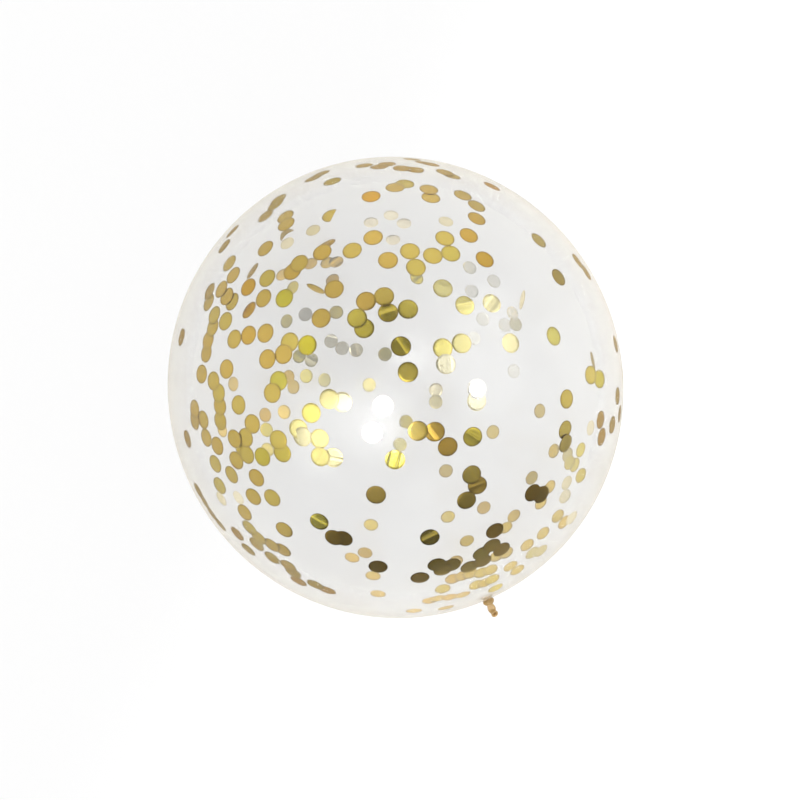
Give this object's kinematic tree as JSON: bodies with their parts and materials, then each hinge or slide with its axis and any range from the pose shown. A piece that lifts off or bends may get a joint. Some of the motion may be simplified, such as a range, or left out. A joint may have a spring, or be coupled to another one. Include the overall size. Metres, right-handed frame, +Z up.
{
  "type": "giant confetti balloon",
  "caption": "Round see-through latex balloon, inflated and tied off, lying on its side, with gold foil confetti sealed inside.",
  "frame": {"origin": "middle of the small flat spot that the balloon rests on", "axes": "+Z up from the resting surface; the neck is level and points along -Y; +X is to the right seen from the neck's end"},
  "size_m": [0.8, 0.854, 0.7969],
  "materials": {
    "clear_latex": "thin stretched latex, clear and slightly milky, glossy; amber where it is unstretched at the neck, knot and lip",
    "gold_foil": "thin metallised foil, bright gold, slightly creased"
  },
  "bodies": {
    "root": {"balloon": "clear_latex"}
  },
  "joints": []
}
